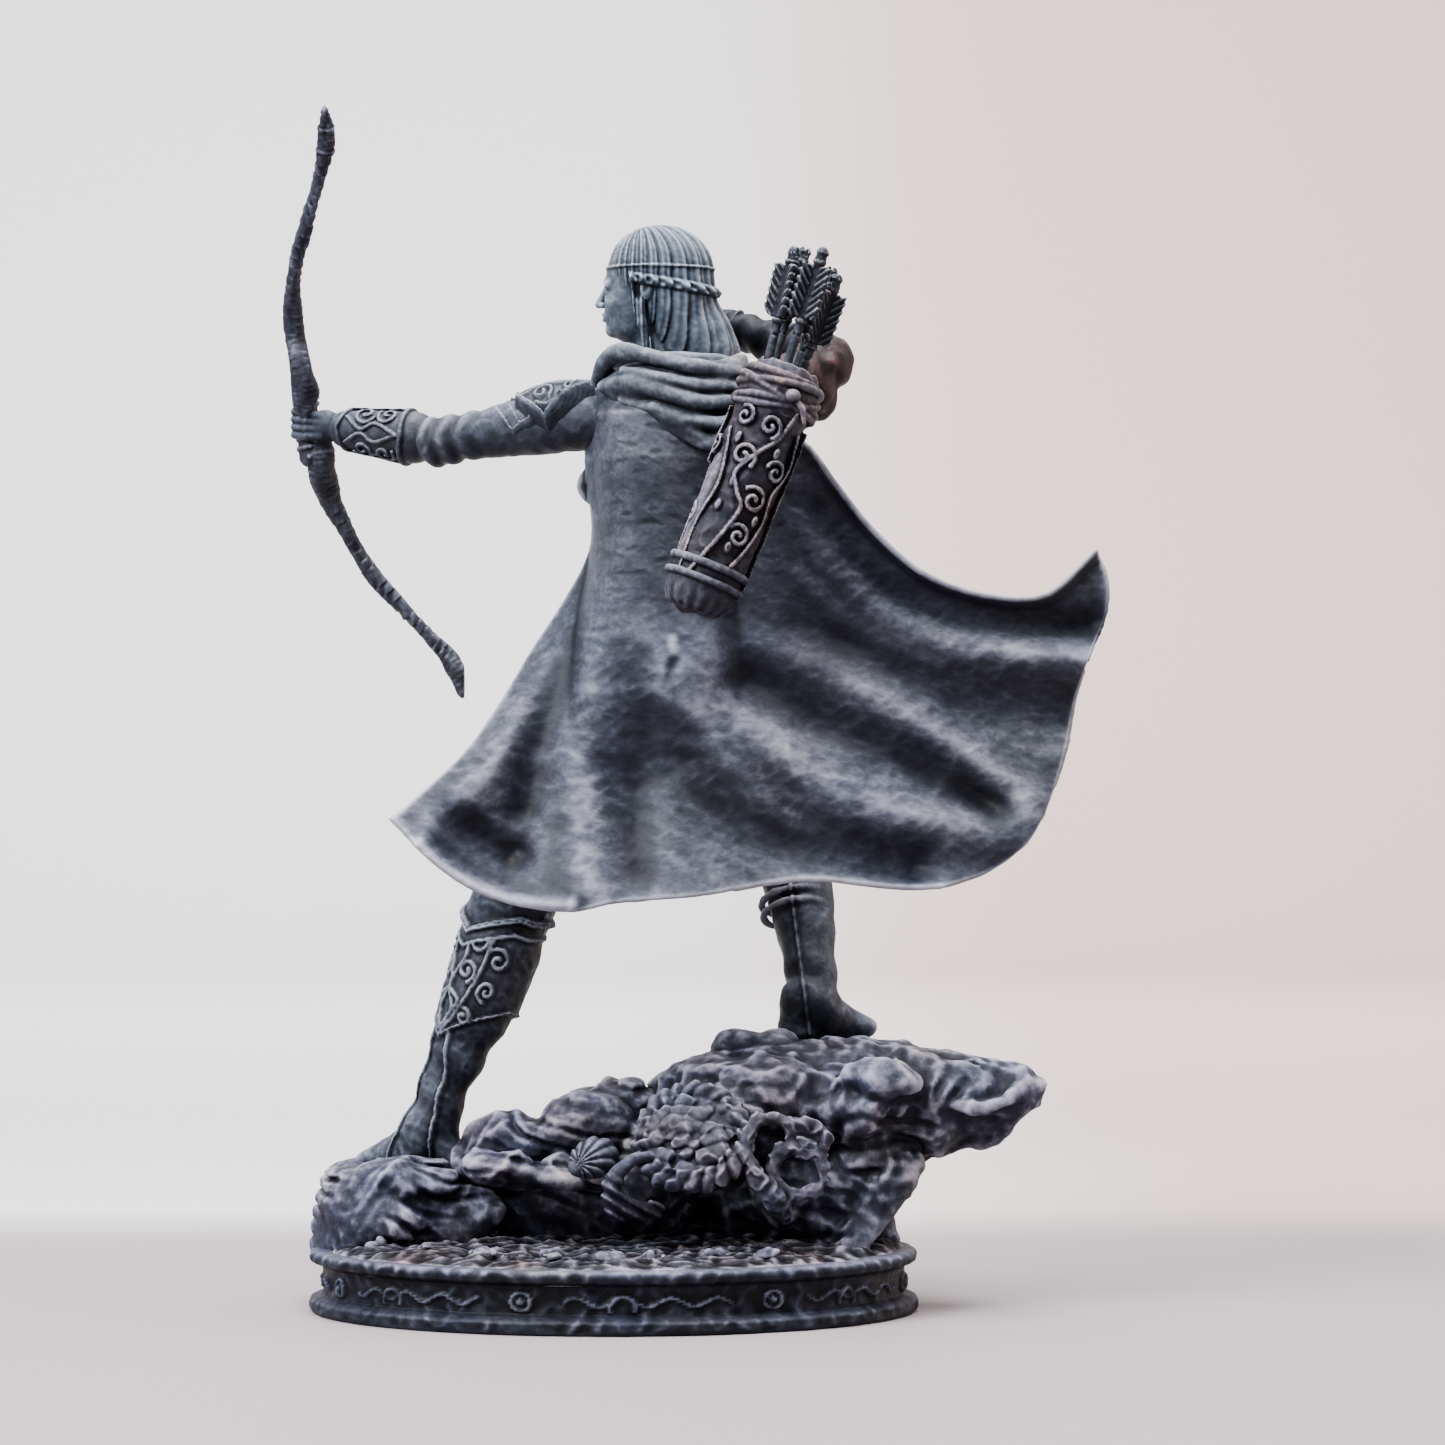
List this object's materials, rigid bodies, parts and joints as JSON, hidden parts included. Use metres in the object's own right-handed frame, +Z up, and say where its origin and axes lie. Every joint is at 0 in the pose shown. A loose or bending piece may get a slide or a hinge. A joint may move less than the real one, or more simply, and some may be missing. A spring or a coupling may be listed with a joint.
{
  "type": "painted archer miniature",
  "caption": "Painted resin archer figure in a streaming cloak, drawing a bow astride a rocky heap on an oval display plinth.",
  "frame": {"origin": "centre of the oval plinth's underside", "axes": "+Z up; +Y in front of the archer's body, across the plinth's short side; +X to the archer's right, where the cloak streams; the bow is held out towards -X"},
  "size_m": [0.0752, 0.0415, 0.1086],
  "materials": {
    "painted_cloth": "satin brush-painted resin, drybrushed folds",
    "painted_head": "satin brush-painted resin",
    "painted_armour": "satin brush-painted resin, pale edges",
    "painted_sleeve": "satin brush-painted resin",
    "painted_quiver": "satin brush-painted resin",
    "painted_arrow": "satin brush-painted resin",
    "painted_bow": "satin brush-painted resin",
    "painted_rock": "matte drybrushed resin",
    "painted_relic": "satin drybrushed resin",
    "painted_ground": "matte drybrushed resin",
    "painted_plinth": "satin drybrushed resin",
    "brass_wire": "drawn brass wire"
  },
  "bodies": {
    "root": {"cloak": "painted_cloth", "hood": "painted_cloth", "torso": "painted_cloth", "head": "painted_head", "left_pauldron": "painted_armour", "left_forearm": "painted_armour", "left_leg": "painted_armour", "right_leg": "painted_armour", "left_upper_arm": "painted_armour", "right_upper_arm": "painted_sleeve", "right_forearm": "painted_sleeve", "quiver": "painted_quiver", "quiver_cap": "painted_quiver", "quiver_collar": "painted_quiver", "arrow_1": "painted_arrow", "arrow_2": "painted_arrow", "arrow_3": "painted_arrow", "arrow_4": "painted_arrow", "arrow_5": "painted_arrow", "bow_grip": "painted_bow", "bow_upper_limb": "painted_bow", "bow_lower_limb": "painted_bow", "left_boulder": "painted_rock", "middle_rocks": "painted_rock", "rock_ledge": "painted_rock", "loose_stones": "painted_rock", "fallen_disc": "painted_relic", "fallen_ring": "painted_relic", "fluted_boss": "painted_relic", "curved_horn": "painted_relic", "groundwork": "painted_ground", "plinth": "painted_plinth", "neck_pin": "brass_wire", "waist_pin": "brass_wire", "left_shoulder_pin": "brass_wire", "right_shoulder_pin": "brass_wire", "left_elbow_pin": "brass_wire", "right_elbow_pin": "brass_wire", "left_hip_pin": "brass_wire", "right_hip_pin": "brass_wire", "left_foot_pin": "brass_wire", "right_foot_pin": "brass_wire", "left_rock_pin": "brass_wire", "middle_rock_pin": "brass_wire", "ledge_pin": "brass_wire", "quiver_pin": "brass_wire", "upper_limb_pin": "brass_wire", "lower_limb_pin": "brass_wire"}
  },
  "joints": []
}
